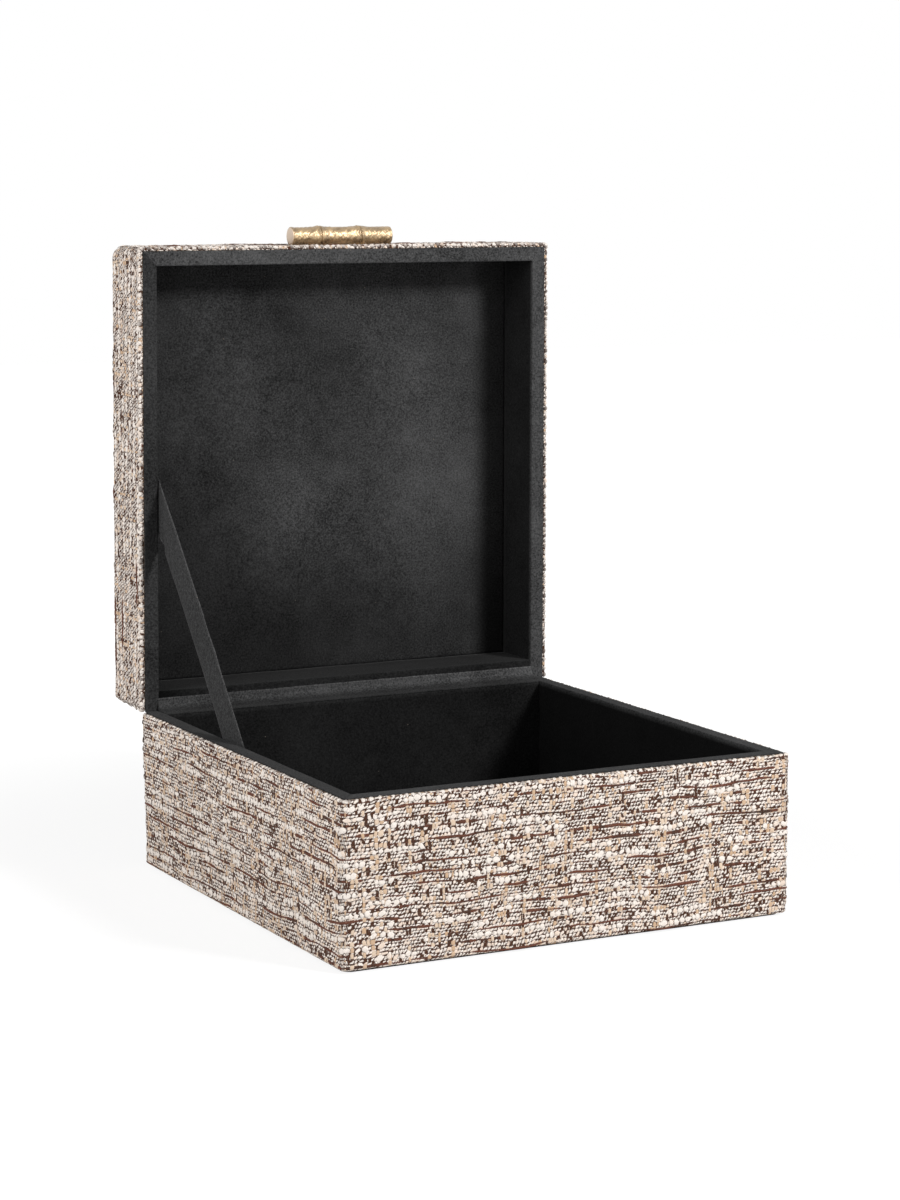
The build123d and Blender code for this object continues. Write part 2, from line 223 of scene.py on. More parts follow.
def closed_piece(name, points, faces, finish, slot, node, **details):
    """A closed mesh in a node's place, with its faces turned outwards."""
    piece = new_mesh(name, points, faces, **details)
    shape = bmesh.new()
    shape.from_mesh(piece.data)
    bmesh.ops.remove_doubles(shape, verts=shape.verts, dist=1e-6)
    bmesh.ops.recalc_face_normals(shape, faces=shape.faces)
    shape.to_mesh(piece.data)
    shape.free()
    return dress(piece, finish, node)


# Materials
def operator(operation):
    """A method that sends a number, and what it is reckoned with, through a math node."""
    def method(self, *others):
        return self.nodes.math(operation, self, *others)

    return method


class Number:
    """A node's output, which can be reckoned with as a number can."""

    def __init__(self, nodes, socket):
        self.nodes, self.socket = nodes, socket

    def __rsub__(self, other):
        return self.nodes.math("SUBTRACT", other, self)

    __add__ = operator("ADD")
    __sub__ = operator("SUBTRACT")
    __mul__ = operator("MULTIPLY")
    __truediv__ = operator("DIVIDE")
    __mod__ = operator("FLOORED_MODULO")
    __pow__ = operator("POWER")
    __lt__ = operator("LESS_THAN")
    __gt__ = operator("GREATER_THAN")
    __abs__ = operator("ABSOLUTE")
    floor = operator("FLOOR")
    fraction = operator("FRACT")
    root = operator("SQRT")
    at_least = operator("MAXIMUM")
    times_add = operator("MULTIPLY_ADD")


class Nodes:
    """A node tree, with a short call for each kind of node."""

    def __init__(self, tree):
        self.tree = tree

    def join(self, socket, value):
        """Gives a socket a value or a link."""
        value = getattr(value, "socket", value)
        if isinstance(value, bpy.types.NodeSocket):
            self.tree.links.new(value, socket)
            return
        if hasattr(socket.default_value, "__len__"):
            size = len(socket.default_value)
            value = list(value) if hasattr(value, "__len__") else [value] * size
            value += [1.0] * (size - len(value))
        socket.default_value = value

    def node(self, kind, *inputs, **settings):
        """A new node. Each setting goes to the socket of its name, if there is one."""
        made = self.tree.nodes.new("ShaderNode" + kind)
        for key, value in settings.items():
            if key in made.inputs:
                self.join(made.inputs[key], value)
            else:
                setattr(made, key, value)
        for socket, value in zip(made.inputs, inputs):
            self.join(socket, value)
        return made

    def first(self, kind, *inputs, **settings):
        """The first output of a new node."""
        return Number(self, self.node(kind, *inputs, **settings).outputs[0])

    def math(self, operation, *inputs):
        return self.first("Math", *inputs, operation=operation)

    def split(self, vector):
        return [Number(self, socket) for socket in self.node("SeparateXYZ", vector).outputs]

    def vector(self, x, y):
        return self.first("CombineXYZ", x, y, 0.0)

    def noise(self, vector, scale, detail=1.0, roughness=0.5, dimensions="2D"):
        return self.first("TexNoise", noise_dimensions=dimensions, Vector=vector, Scale=scale,
                          Detail=detail, Roughness=roughness)

    def random(self, x, y):
        """A number from 0 to 1 for each pair of whole numbers."""
        return self.first("TexWhiteNoise", noise_dimensions="2D", Vector=self.vector(x, y))

    def step(self, value, low, high, to_low=0.0, to_high=1.0, kind="SMOOTHSTEP"):
        return self.first("MapRange", value, low, high, to_low, to_high, interpolation_type=kind)

    def mix(self, factor, one, two, kind="RGBA", at=6, out=2):
        """A colour between two others."""
        made = self.node("Mix", data_type=kind)
        for index, value in ((0, factor), (at, one), (at + 1, two)):
            self.join(made.inputs[index], value)
        return Number(self, made.outputs[out])

    def blend(self, factor, one, two):
        """A number between two others."""
        return self.mix(factor, one, two, "FLOAT", 2, 0)

    def scale(self, vector, factor):
        return self.first("VectorMath", vector, operation="SCALE", Scale=factor)

    def value(self, name):
        """A value that the mesh holds for each of its points."""
        return Number(self, self.node("Attribute", attribute_name=name).outputs["Fac"])

    def seen(self):
        """1 for the rays that show the background: straight to the camera, or by metal or glass."""
        path = self.node("LightPath").outputs
        found = self.math("MAXIMUM", path["Is Camera Ray"], path["Is Glossy Ray"])
        return found.at_least(path["Is Transmission Ray"])


class Finish(Nodes):
    """A material under construction."""

    def __init__(self, name, **settings):
        self.material = bpy.data.materials.new(name)
        self.material.use_nodes = True
        super().__init__(self.material.node_tree)
        self.tree.nodes.clear()
        self.output = self.node("OutputMaterial")
        self.shader = self.node("BsdfPrincipled")
        self.join(self.output.inputs["Surface"], self.shader.outputs[0])
        for key, value in settings.items():
            self.set(key.replace("_", " ").title().replace("Ior", "IOR"), value)

    def set(self, socket, value):
        """Gives one socket of the shader a value or a link."""
        self.join(self.shader.inputs[socket], value)

    def bump(self, height, distance, strength=1.0):
        self.set("Normal", self.first("Bump", Strength=strength, Distance=distance, Height=height))

    def place(self):
        """The point in the row frame at rest, in millimetres."""
        return self.scale(self.node("TexCoord").outputs["Object"], 1 / mm)


# Colours, as they render in plain light
cream = (0.965, 0.883, 0.812)
blush = (0.895, 0.738, 0.62)
tan = (0.63, 0.43, 0.28)
pale_tan = (0.77, 0.61, 0.47)
# umber is a dark yarn's colour, and also painted shade in the cream yarn's creases; shade is the dark brown
# of the weave's gaps with painted shade in them, and painted shade in the rust yarn's creases
umber = (0.050, 0.026, 0.019)
rust = (0.145, 0.052, 0.033)
shade = (0.082, 0.037, 0.022)
weave_fibre = (0.42, 0.30, 0.22)
yarn_fibre = (0.50, 0.40, 0.33)
lint_colour = (0.42, 0.36, 0.30)
cut_brass = (0.60, 0.47, 0.35)


def tweed_finish():
    """Small cream nubs in brick order, with tan warps, dark brown gaps with painted shade between them, and
    rust lines across.
    """
    look = Finish("tweed", roughness=0.9, specular_ior_level=0.06, sheen_weight=0.03, sheen_roughness=0.6)
    random, step, mix, blend = look.random, look.step, look.mix, look.blend
    weave = look.first("UVMap", uv_map="weave")
    x, y, _ = look.split(weave)
    calm = look.value("calm")

    def cloud(across, along, detail=1.0):
        """Noise with a feature size of about one unit."""
        return look.noise(look.vector(across, along), 1.0, detail)

    def wander(seed, step_x, step_y, reach):
        """A smooth shift, up to half its reach either way."""
        return cloud(x.times_add(1 / step_x, seed), y * (1 / step_y)).times_add(reach, -reach / 2)

    def inside(value, reach, edge=0.04):
        """1 where a distance is within its reach, with a narrow edge."""
        return step(value - reach, -edge, edge, 1.0, 0.0)

    def off_centre(value):
        return value.fraction() - 0.5

    def mound(across, along, wide, long, across_power, along_power):
        """1 in the middle of each cell, and 0 at its reach either way."""
        fall = (abs(off_centre(across)) / wide) ** across_power
        return 1.0 - (fall + (abs(off_centre(along)) / long) ** along_power)

    across = x + wander(3.0, 9.0, 30.0, 2.4) + wander(11.0, 2.6, 3.0, 0.9)
    along = y + wander(23.0, 3.0, 2.6, 0.8)
    # Bands along the warps where the cream is thin
    lean = step(cloud(x * (1 / 6.0), y * (1 / 70.0)), 0.50, 0.62)

    # Nubs, slanted, each row set off by half a nub
    in_rows = (along + wander(41.0, 1.9, 1.9, 1.0)) * (1 / pitch)
    row = in_rows.floor()
    shift = (row % 2.0).times_add(0.5, off_centre(in_rows) * -0.7)
    in_nubs = (across + wander(43.0, 2.1, 1.9, 1.3)) * (1 / nub_length) + shift
    cell = random(in_nubs.floor(), row)
    size = step(cell, 0.0, 1.0, 0.33, 0.54, "LINEAR")
    nub = mound(in_nubs, in_rows, size, size, 2.2, 2.2)

    # Warps, most of which show for a short way at the rust lines
    in_warps = across * (1 / pitch)
    end = in_warps.floor()
    in_lines = along * (2 / line_gap) + 0.5
    crossing = in_lines.floor()
    at_line = look.math("COMPARE", crossing % 2.0, 0.0, 0.1)
    down = cloud(end * 3.3, y * (1 / 14.0))
    own = down.times_add(1.2, random(end, 91.0)).fraction()
    is_tan = own + calm < blend(lean, 0.36, 0.55)
    luck = random(end, crossing + 7.0)
    shows = luck < blend(at_line, blend(lean, 0.14, 0.40), 0.62)
    warp = mound(in_warps, in_lines, 0.44, 0.46, 3.0, 4.0) - (1.0 - is_tan * shows) * 3.0
    on_warp = warp > 0.0

    # Gaps beside the warps, sunk low so that painted shade darkens them
    off_warp = abs(off_centre(in_warps))
    is_hole = random(end, row + 300.0) < blend(lean, 0.09, 0.30)
    hole = is_hole * inside(off_warp, 0.40) * inside(abs(off_centre(in_rows)), 0.42)
    slit = (random(end, crossing + 900.0) < 0.22) * step(off_warp, 0.36, 0.43)

    # Rust lines, thin for most of their way
    rough_line = y + wander(47.0, 1.1, 1.1, 0.9)
    off_line = abs(off_centre(rough_line * (1 / line_gap) + 0.5) * line_gap)
    index = (y * (1 / line_gap) + 0.5).floor()
    run = cloud(x * (1 / 17.0), index * 5.7, 2.0)
    half_thick = step(run, 0.32, 0.42, -0.3, 0.27) + step(run, 0.54, 0.64, 0.0, 0.50)
    on_rust = inside(off_line, half_thick - calm * step(run, 0.36, 0.56, 1.0, 2.6), 0.06)

    height = nub.at_least(-0.8) - hole.at_least(slit * 0.8) * 1.2
    height = blend(on_rust, height, 0.75 - off_line * 0.6)
    height = blend(on_warp, height, warp.at_least(0.35)).at_least(-1.0)

    pale = mix(step(cell, 0.66, 0.98), cream, blush)
    yarn = mix(on_rust, pale, mix(random(end, index), rust, umber))
    yarn = mix(on_warp, yarn, mix(step(luck, 0.0, 0.5), tan, pale_tan))
    fibre = look.noise(weave, 2.6, 2.0, 0.7)
    yarn = mix(step(fibre, 0.32, 0.47, 0.25, 0.0), yarn, weave_fibre)
    # Painted shade: the lower the weave lies, the nearer its colour comes to the dark shade colour
    look.set("Base Color", mix(step(height, -0.34, 0.40), shade, yarn))
    look.bump(fibre.times_add(0.15, height), 0.32 * mm)
    return look


def yarn_finish(name, crease_shade, top, alternate, spread):
    """A loose yarn, with painted shade low in its creases and some turns in another colour."""
    look = Finish(name, roughness=0.92, specular_ior_level=0.15)
    colour = look.mix(look.step(look.value("tint"), spread, 1.0), top, alternate)
    fibre = look.noise(look.place(), 2.4, 2.0, 0.7, "3D")
    colour = look.mix(look.step(fibre, 0.30, 0.46, 0.4, 0.0), colour, yarn_fibre)
    # Painted shade: darker where the yarn rises least, at its foot on the cloth
    look.set("Base Color", look.mix(look.step(look.value("rise"), 0.05, 0.6), crease_shade, colour))
    look.bump(fibre, 0.35 * mm)
    return look


def suede_finish(name, cloudy=1.0, lint=0.5):
    """Black suede: cloudy where its pile lies differently, with a fine grain and a little lint."""
    look = Finish(name, roughness=0.95, specular_ior_level=0.05, sheen_weight=0.04, sheen_roughness=0.45)
    place = look.place()
    cloud = look.noise(place, 0.016, 2.0, 0.55, "3D") - 0.5
    brushed = look.noise(place, 0.09, 2.0, 0.6, "3D") - 0.5
    grain = look.noise(place, 0.95, 3.0, 0.8, "3D")
    lay = cloud.times_add(1.5 * cloudy, brushed * (0.7 * cloudy))
    tone = (lay + (grain - 0.5) * 4.0 + 1.0).at_least(0.25)
    # Each point's darkness value: its nap, and in places painted light and shade
    dark = look.scale((1.0, 1.0, 1.01), tone * look.value("nap"))
    spot = look.node("TexVoronoi", voronoi_dimensions="3D", feature="F1", Vector=place, Scale=0.16).outputs
    rare = look.split(spot["Color"])[0] > 1 - 0.30 * lint
    dot = look.step(spot["Distance"], 0.030, 0.055, 1.0, 0.0) * rare
    look.set("Base Color", look.mix(dot * 0.35, dark, lint_colour))
    look.bump(grain, 0.30 * mm, 0.8)
    return look


def metal_finish(name, colour, roughness, stain, mark=0.0, lacquer=0.0):
    """Metal with uneven polish and a little tarnish, bare or under a satin lacquer."""
    look = Finish(name, metallic=1.0, coat_weight=lacquer, coat_roughness=0.40, coat_ior=1.7)
    place = look.place()
    wide = look.noise(place, 0.22, 3.0, 0.6, "3D")
    stretched = look.first("VectorMath", place, (0.5, 2.2, 2.2), operation="MULTIPLY")
    fine = look.noise(stretched, 1.0, 3.0, 0.65, "3D")
    tone = look.mix(look.step(wide, 0.35, 0.75), colour, stain)
    look.set("Base Color", look.mix(look.value("cut"), tone, cut_brass))
    look.set("Roughness", look.step(fine, 0.25, 0.75, roughness - 0.07, roughness + 0.10))
    look.bump(fine, 0.05 * mm, 0.4 + mark)
    return look


def board_finish(name, colour, grain):
    """Pressed board or card with fine fibres."""
    look = Finish(name, roughness=0.85, specular_ior_level=0.2)
    fibre = look.noise(look.place(), grain, 4.0, 0.7, "3D")
    darker = [channel * 0.6 for channel in colour]
    look.set("Base Color", look.mix(look.step(fibre, 0.3, 0.7), darker, colour))
    look.bump(fibre, 0.15 * mm, 0.5)
    return look


tweed = tweed_finish()
suede_look = suede_finish("suede")
ribbon_look = suede_finish("ribbon", cloudy=0.3, lint=0.6)
felt_look = suede_finish("felt", cloudy=0.3, lint=0.2)
cream_yarn = yarn_finish("cream_yarn", umber, cream, blush, 0.80)
rust_yarn = yarn_finish("rust_yarn", shade, rust, umber, 0.45)
brass = metal_finish("hammered_brass", (0.43, 0.30, 0.155), 0.46, (0.20, 0.13, 0.06), mark=0.3, lacquer=0.8)
hinge_metal = metal_finish("hinge_brass", (0.70, 0.52, 0.26), 0.35, (0.50, 0.36, 0.17))
steel = metal_finish("steel", (0.60, 0.60, 0.60), 0.35, (0.48, 0.48, 0.50))
fibreboard = board_finish("fibreboard", (0.42, 0.29, 0.17), 1.3)
card = board_finish("card", (0.35, 0.32, 0.28), 2.2)

# The skin of the cloth: u runs round the walls from the back left corner, v from the rim inwards
flat = half_width - corner_radius
side_length = 2 * flat + corner_radius * quarter
whole_round = 4 * side_length
hinge_centre = (leaf_low[0] + leaf_high[0]) / 2
hinge_reach = (leaf_high[0] - leaf_low[0]) / 2 + 0.3
knuckle_depth = 2.4
corner_stretch = 25.0
# Where the lid's top lies on the cloth
panel_place = (1500.0, 100 * line_gap)


def around(half, u, inset, w):
    """Where u lies in (x, s) at some inset from the outer face, and the way out from there."""
    side = np.floor(u / side_length)
    t = u - side * side_length
    facing = side * quarter
    bend = np.clip((t - 2 * flat) / corner_radius, 0, quarter)
    run = np.minimum(t, 2 * flat) - flat
    radius = half.corner(np.where(run > 0, side, side - 1), w)
    share = ease(unit((np.abs(run) - flat) / corner_stretch + 1))
    share = share * unit((corner_radius - inset) / 2.0)
    run = run + np.sign(run) * (corner_radius - radius) * share
    rounding = np.maximum(radius - inset, 0)
    level = half_width - np.maximum(radius, inset)
    a = np.clip(run, -level, level) + rounding * np.sin(bend)
    b = level + rounding * np.cos(bend)
    x = np.cos(facing) * a + np.sin(facing) * b
    s = np.sin(facing) * a - np.cos(facing) * b
    turn = facing + bend
    return x, s, np.sin(turn), -np.cos(turn)


def relief(u, v):
    """How far the cloth stands off its flat place, in soft lumps."""
    return waver(0.45, u / 6.0, v / 3.4, 5) + waver(0.30, u / 2.6, v / 2.4, 9)


def drift(u, v):
    """How far a row wanders off its straight line, at a place u along it and v across."""
    return waver(2.6, u / 28.0, v / 12.0, 7) + waver(0.7, u / 7.0, v / 12.0, 8)


def on_row(u, row):
    """Where v lies along a row that wanders."""
    return row + drift(u, row + drift(u, row))


def skin(half, u, v):
    """Points of the wall's skin, and the directions along u, along v and out."""
    u, v = np.broadcast_arrays(np.asarray(u, float), np.asarray(v, float))
    angle = np.clip((v - half.wall) / half.edge_radius, 0, quarter)
    w = woven_from + np.clip(v, 0, half.wall) + half.edge_radius * np.sin(angle)
    inset = half.edge_radius * (1 - np.cos(angle)) + np.maximum(v - half.turned, 0)
    x, s, out_x, out_s = around(half, u, inset, w)
    lift = relief(u, v) * unit(v / 1.5) * unit((half.reach - v) / 3.0)
    out = stacked(out_x * np.cos(angle), out_s * np.cos(angle), np.sin(angle))
    along = stacked(-out_s, out_x, 0)
    down = stacked(-out_x * np.sin(angle), -out_s * np.sin(angle), np.cos(angle))
    return stacked(x, s, w) + out * lift[..., None], along, down, out


def panel(x, s):
    """Points of the lid's flat top, and the directions along its rows, across them and out."""
    x, s = np.broadcast_arrays(np.asarray(x, float), np.asarray(s, float))
    edge = np.minimum(flat - np.abs(x), flat - np.abs(s))
    lift = relief(x + panel_place[0], s + panel_place[1]) * unit(edge / 3.0)
    point = stacked(x, s, lid.depth + lift)
    along, down, out = [np.broadcast_to(axis, point.shape) for axis in np.eye(3)]
    return point, along, down, out


# The cover's grid: how many points a side has, how far apart its rows are, and v along its rolled edge
side_points = 190
row_step = 1.2
rolled_v = [-2.5, -1.9, -1.1, -0.6]
# How much calmer the lid's weave is: fewer tan warps and thinner rust lines
lid_calm = 0.13


def cover(half, flat_size):
    """The cloth round a half as one closed skin: rolled edge, wall, outer edge and inner side."""
    notch_edges = [sign * hinge_centre + side * (hinge_reach + step)
                   for sign in (-1, 1) for side in (-1, 1) for step in (-0.01, 0.01)]
    line = np.sort(np.concatenate([np.linspace(-flat, flat, side_points), notch_edges]))
    corner = 2 * flat + np.linspace(0, corner_radius * quarter, 7)[1:-1]
    one_side = np.concatenate([line + flat, corner])
    columns = np.concatenate([one_side + side * side_length for side in range(4)] + [[whole_round]])
    in_notch = (columns < 2 * flat) & (np.abs(np.abs(columns - flat) - hinge_centre) < hinge_reach)

    def band(insets, depths):
        """Plain rows at given insets and depths."""
        insets, depths = np.asarray(insets, float)[:, None], np.asarray(depths, float)[:, None]
        x, s, _, _ = around(half, columns, insets, depths)
        return stacked(x, s, depths)

    rolled = band([cloth, cloth - 0.1, 1.2, 0.5], [woven_from, suede + 0.1, suede, suede + 0.15])
    bend = np.linspace(half.wall, half.turned, 9)
    if half is lid:
        bend = np.concatenate([bend, np.linspace(half.turned, half.reach, 4)[1:]])
        inner = lid_edge - cloth
        turns = np.linspace(quarter, 0, 5)
        insets = [corner_radius, *(lid_edge - inner * np.cos(turns)), cloth]
        depths = [half.depth - cloth, *(half.depth - lid_edge + inner * np.sin(turns)), woven_from]
    else:
        insets = [fold_radius, 4.0, 8.0, hem, hem, cloth, cloth]
        depths = [half.depth] * 4 + [half.depth - cloth] * 2 + [woven_from]
    inside = band(insets, depths)
    downs = np.concatenate([np.arange(0, half.wall - 0.5, row_step), bend])
    outside = np.concatenate([rolled, skin(half, columns[None, :], downs[:, None])[0]])
    outside[:, in_notch, 2] = np.maximum(outside[:, in_notch, 2], knuckle_depth)
    inside[-1, in_notch, 2] = knuckle_depth
    points, uv, faces = [], [], []

    def add(grid, across, down):
        """Adds a grid of points, with its place on the cloth, and gives the number of its first point."""
        first = sum(len(part) for part in points)
        points.append(grid.reshape(-1, 3))
        uv.append(stacked(across, down - drift(across, down)).reshape(-1, 2))
        faces.extend(grid_faces(*grid.shape[:2], first=first))
        return first

    add(outside, columns[None, :], np.concatenate([rolled_v, downs])[:, None])
    first = add(inside, columns[None, :], half.reach + np.arange(len(insets))[:, None] * 3.0)
    if half is lid:
        faces.append(list(range(first, first + len(columns) - 1)))
        top = panel(line[None, :], line[:, None])[0]
        add(top, line[None, :] + panel_place[0], line[:, None] + panel_place[1])
    points, uv = np.concatenate(points), np.concatenate(uv)
    calm = np.full(len(points), 0.0 if half is base else lid_calm)
    piece = closed_piece(f"{half.name}_tweed", half.place(points), faces, tweed, "tweed",
                         f"{half.name}_tweed_cover", body=half.name, uv=uv, values={"calm": calm})
    [side * mm for side in flat_size]


# The base's cloth is a band round the walls, and the lid's a square with its corners cut out
wrap = half_width + lid.depth
cover(base, (8 * half_width, base.depth + hem))
cover(lid, (2 * wrap, 2 * wrap))

# The yarns that stand proud of the weave, as rings of a radius at a height
dome = [(1.0, -0.30), (0.86, 0.50), (0.46, 0.90), (0.0, 1.0)]
bead = [(0.0, -1.0), (0.70, -0.70), (1.0, 0.0), (0.70, 0.70), (0.0, 1.0)]
dome_sides, bead_sides, slub_sides = 9, 8, 6
bump_span = 2.2
shortest_slub, longest_slub = 8, 42


def angles_of(sides):
    """The angles of a ring's points."""
    return np.arange(sides) / sides * 2 * math.pi


def beside(points, *moves):
    """Rings of points beside others, moved by some amounts along their directions."""
    return points[:, None] + sum(amount[..., None] * way[:, None] for amount, way in moves)


def nubs(place, frames, lengths, widths, rises, rings, sides, seed):
    """Rounded lumps of yarn at given places, as points, faces, rise and tint."""
    points, along, down, out = frames
    count = len(points)
    dice = np.random.default_rng(seed)
    slant = dice.normal(-0.3, 0.3, count)[:, None]
    along, down = along * np.cos(slant) - down * np.sin(slant), down * np.cos(slant) + along * np.sin(slant)
    angles = angles_of(sides)
    parts, rise = [], []
    for radius, height in rings:
        turns = angles if radius else angles[:1]
        wobble = 1 + 0.34 * (dice.random((count, len(turns))) - 0.5)
        across = radius * np.cos(turns) * wobble * lengths[:, None]
        downs = radius * np.sin(turns) * wobble * widths[:, None]
        ups = height * rises[:, None] * (0.85 + 0.3 * dice.random((count, len(turns))))
        parts.append(beside(points, (across, along), (downs, down), (ups, out)))
        # How high the ring stands, for the painted shade at the lump's foot
        rise += [(height - rings[0][1]) / (1 - rings[0][1])] * len(turns)
    cluster = np.concatenate(parts, 1)
    size = cluster.shape[1]
    # The faces of one lump. A ring of no radius is a single point
    levels, first = [], 0
    for radius, _ in rings:
        levels.append([first + i if radius else first for i in range(sides)])
        first += sides if radius else 1
    one = [list(dict.fromkeys([low[i - 1], low[i], high[i], high[i - 1]]))
           for low, high in zip(levels, levels[1:]) for i in range(sides)]
    if rings[0][0]:
        one.append(levels[0][::-1])
    faces = [[index + k * size for index in face] for k in range(count) for face in one]
    tint = np.repeat(dice.random(count), size)
    return place(cluster.reshape(-1, 3)), faces, np.tile(rise, count), tint


def gather(name, half, groups, finish):
    """One piece of yarn from several groups of points, faces, rise and tint."""
    faces, first = [], 0
    for group in groups:
        faces += [[index + first for index in face] for face in group[1]]
        first += len(group[0])
    points, rise, tint = [np.concatenate([group[k] for group in groups]) for k in (0, 2, 3)]
    piece = new_mesh(f"{half.name}_{name}", points, faces, body=half.name,
                     values={"rise": rise, "tint": tint})
    dress(piece, finish, f"{half.name}_tweed_cover")


def rows_of(half, kind, least, most):
    """Each row of one kind on a half: its start and end, its place, and its points at a shift off it.

    On a wall these points stay between two margins from the cloth's edges.
    """
    def on_wall(u, row, shift):
        return skin(half, u, np.clip(on_row(u, row) + shift, least, half.reach - most))

    def on_top(x, row, shift):
        return panel(x, on_row(x + panel_place[0], row + panel_place[1]) - panel_place[1] + shift)

    rows = np.arange(int(half.reach / line_gap) + 1) * line_gap + kind
    found = [(0.0, whole_round, row, on_wall) for row in rows if 1.0 < row < half.reach - 0.8]
    if half is lid:
        count = int(2 * flat / line_gap) + 2
        rows = np.arange(-count, count) * line_gap + kind
        found += [(-flat, flat, row, on_top) for row in rows if abs(row) < flat - 1]
    return found


def boucle(half, seed):
    """Thick cream yarn that comes up in bumps, in runs midway between rust lines, and beads on the rim."""
    dice = np.random.default_rng(seed)
    groups = []
    for start, end, row, surface in rows_of(half, line_gap / 2, 1.2, 0.8):
        spans = bump_span + bump_span * dice.random(int((end - start) / bump_span)) ** 1.3
        u = start + np.cumsum(spans)
        whole = u < end - 2.0
        u, spans = u[whole], spans[whole]
        frames = surface(u, row, dice.normal(0, 0.22, len(u)))
        # It comes up in runs, with some bumps left out and a few alone
        offset = 50 if start < 0 else 0
        runs = noise_at((u + offset) / 13.0, row * 0.7, seed)
        luck = dice.random(len(u))
        keep = (runs > 0.60) & (luck > 0.08) | (luck > 0.96)
        count = keep.sum()
        plump = 0.65 + 0.6 * dice.random(count)
        lengths = spans[keep] * (0.44 + 0.12 * dice.random(count))
        rises = 0.26 + 0.26 * plump * dice.random(count)
        picked = [part[keep] for part in frames]
        shape = (lengths, 1.45 * plump, rises, dome, dome_sides)
        groups.append(nubs(half.place, picked, *shape, seed + len(groups)))

    # Beads where the cloth turns in under the rim, but none at the hinges or under the returns' ends
    u = np.cumsum(2.5 + 1.5 * dice.random(int(whole_round / 2.6)))
    u = u[u < whole_round - 1.0]
    off_middle = np.abs(u - flat)
    at_hinge = np.abs(off_middle - hinge_centre) < hinge_reach + 1.5
    under_return = (off_middle > room - 2) & (off_middle < half_width + 2)
    u = u[(u > side_length + 2) & (u < whole_round - 3) | ~(at_hinge | under_return)]
    count = len(u)
    proud = 0.35 if half is lid else 0.0
    inset = 1.05 - proud + 0.3 * dice.random(count)
    least = (1.25, 1.05, 1.15)
    lengths, widths, rises = [low + proud / 2 + 0.35 * dice.random(count) for low in least]
    w = 1.17 * widths - 0.05
    x, s, out_x, out_s = around(half, u, inset, w)
    ways = [(x, s, w), (-out_s, out_x, 0), (0, 0, 1), (out_x, out_s, 0)]
    frames = [stacked(*way) for way in ways]
    beads = nubs(half.place, frames, lengths, widths, rises, bead, bead_sides, seed)
    # Painted shade reaches further up some beads than others, at random
    sunk = np.repeat(0.30 + 0.65 * dice.random(count), len(beads[2]) // count)
    groups.append((*beads[:2], beads[2] * sunk, beads[3]))
    gather("boucle_yarn", half, groups, cream_yarn)


def slub(half, surface, start, end, row, seed):
    """One length of rust yarn that lies along a row, swelling and thinning."""
    dice = np.random.default_rng(seed)
    count = max(6, int((end - start) / 1.3))
    u = np.linspace(start, end, count)
    taper = np.sqrt(np.clip(np.minimum(u - start, end - u) / 4.0, 0.02, 1))
    plump = dice.uniform(0.6, 1.25)
    thick = (0.24 + 0.50 * noise_at(u / 6.0, row * 3.1, 3)) * taper * plump
    points, _, down, out = surface(u, row, waver(0.4, u / 4.0, row, 13))
    angles = angles_of(slub_sides)
    high = 0.8 * thick * (0.8 + 0.4 * dice.random(count))
    across, ups = np.cos(angles) * thick[:, None], np.sin(angles) * high[:, None] + 0.06
    ring = beside(points, (across, down), (ups, out))
    # Painted shade on the slub's underside, where it lies on the cloth
    rise = np.tile(0.5 + 0.5 * np.sin(angles), count)
    tint = np.repeat(noise_at(u / 7.0, row, 21), slub_sides)
    return half.place(ring.reshape(-1, 3)), row_tube(count, slub_sides), rise, tint


def rust_slubs(half, seed):
    """Rust yarn that shows in lengths of up to 42 mm, here and there along the rust lines."""
    dice = np.random.default_rng(seed)
    groups = []
    longest_gap = 130 if half is base else 330
    for start, end, row, surface in rows_of(half, 0.0, 0.8, 0.5):
        at = start + dice.uniform(0, 40)
        while at < end - shortest_slub:
            length = min(dice.uniform(shortest_slub, longest_slub), end - at - 1)
            if length > 6:
                groups.append(slub(half, surface, at, at + length, row, seed + len(groups)))
            at += length + dice.uniform(15, longest_gap)
    gather("rust_yarn", half, groups, rust_yarn)


for half, seed in ((base, 11), (lid, 37)):
    boucle(half, seed)
    rust_slubs(half, seed + 1)

# The suede linings
lining_face = half_width - room
bend_radius = 0.7
return_edge = 2.0
return_corner = 3.0
end_corner = 0.4
back_return_edge = 5.0
lid_overhang = 0.85
lining_thickness = 1.0
fine_end = 12


def wall_line(t, inset, square_back):
    """Where t along a wall lies at some inset: how far along, and how far out from the middle."""
    straight = half_width - return_corner
    turn = np.clip((t - straight) / return_corner, 0, quarter / 2)
    turn_back = np.clip((-t - straight) / return_corner, 0, quarter / 2) * (0 if square_back else 1)
    rounding = np.maximum(return_corner - inset, 0)
    level = half_width - np.maximum(inset, return_corner)
    out = level + rounding * np.cos(np.maximum(turn, turn_back))
    along = np.clip(t, -half_width if square_back else -level, level)
    along = along + rounding * (np.sin(turn) - np.sin(turn_back))
    if square_back:
        # The square end's outer corner is a little rounded
        past = np.clip(-t - half_width + end_corner, 0, end_corner)
        rounded = half_width - return_edge - end_corner + np.sqrt(end_corner ** 2 - past ** 2)
        out = np.minimum(out, rounded)
    return along, out


